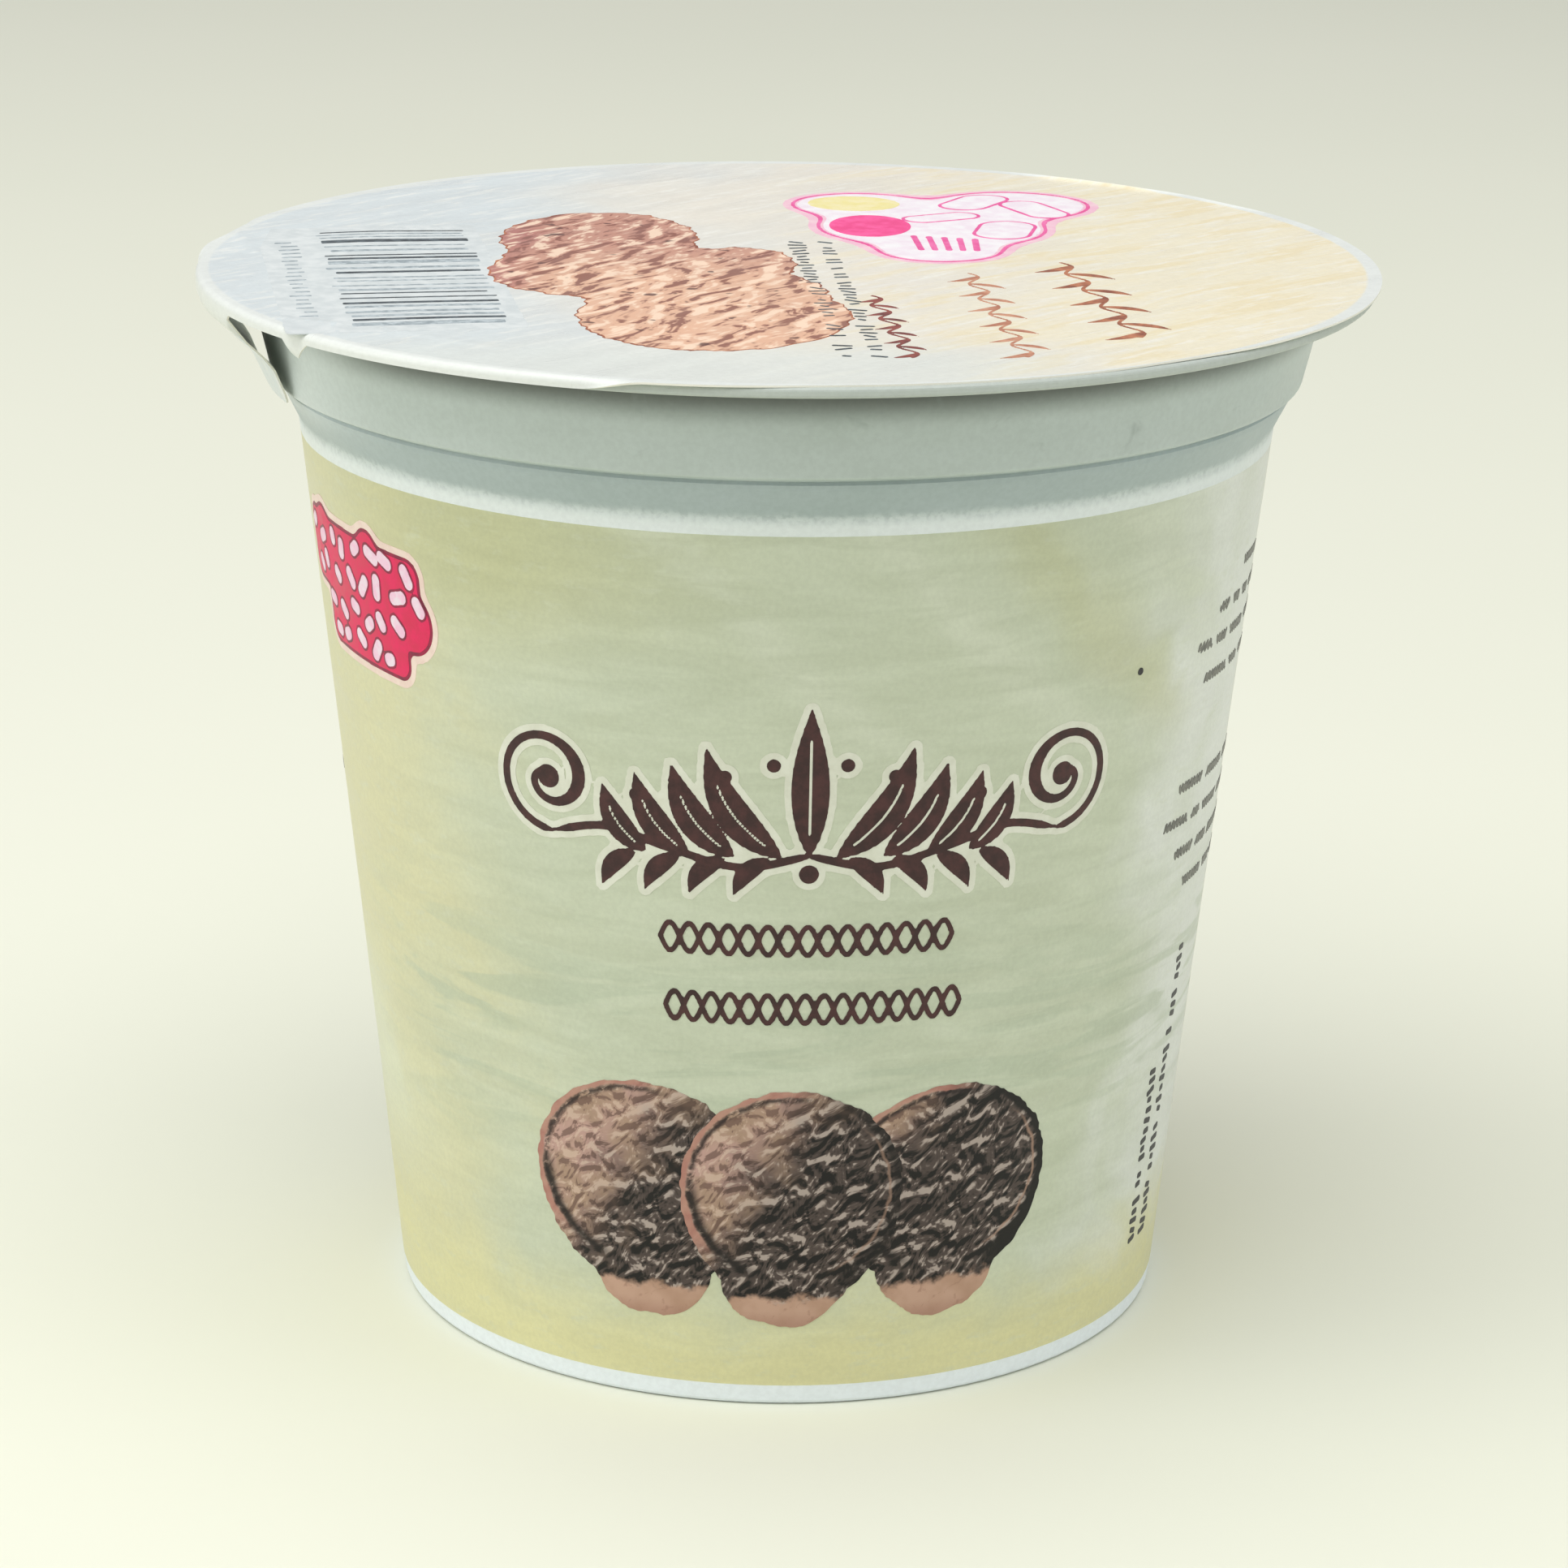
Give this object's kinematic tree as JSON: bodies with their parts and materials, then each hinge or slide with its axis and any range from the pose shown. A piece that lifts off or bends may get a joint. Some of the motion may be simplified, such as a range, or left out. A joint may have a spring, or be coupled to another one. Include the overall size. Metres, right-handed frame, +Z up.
{
  "type": "ice cream tub",
  "caption": "Small sealed ice cream tub: tapered plastic cup with stepped collar and flat flange, flush printed label, thin film lid with folded pull tab.",
  "frame": {"origin": "middle of the foot, in the plane that the tub stands on", "axes": "+Z up along the tub's axis, -Y towards the front of the label, pull tab of the lid near -X"},
  "size_m": [0.0755, 0.0751, 0.0683],
  "materials": {
    "cup_plastic": "white moulded plastic with a soft sheen",
    "label_film": "printed in-mould film, pale yellow-green, satin",
    "lid_film": "printed sealing film, white to cream, satin sheen",
    "ink_brown": "dark brown printing ink",
    "ink_white": "white printing ink",
    "ink_magenta": "magenta printing ink",
    "ink_black": "black printing ink",
    "ink_chocolate": "printed picture of chocolate ice cream scoops",
    "ink_salmon": "printed picture of scoops on the lid, salmon brown"
  },
  "bodies": {
    "root": {"tub": "cup_plastic", "label": "label_film", "lid": "lid_film"}
  },
  "joints": []
}
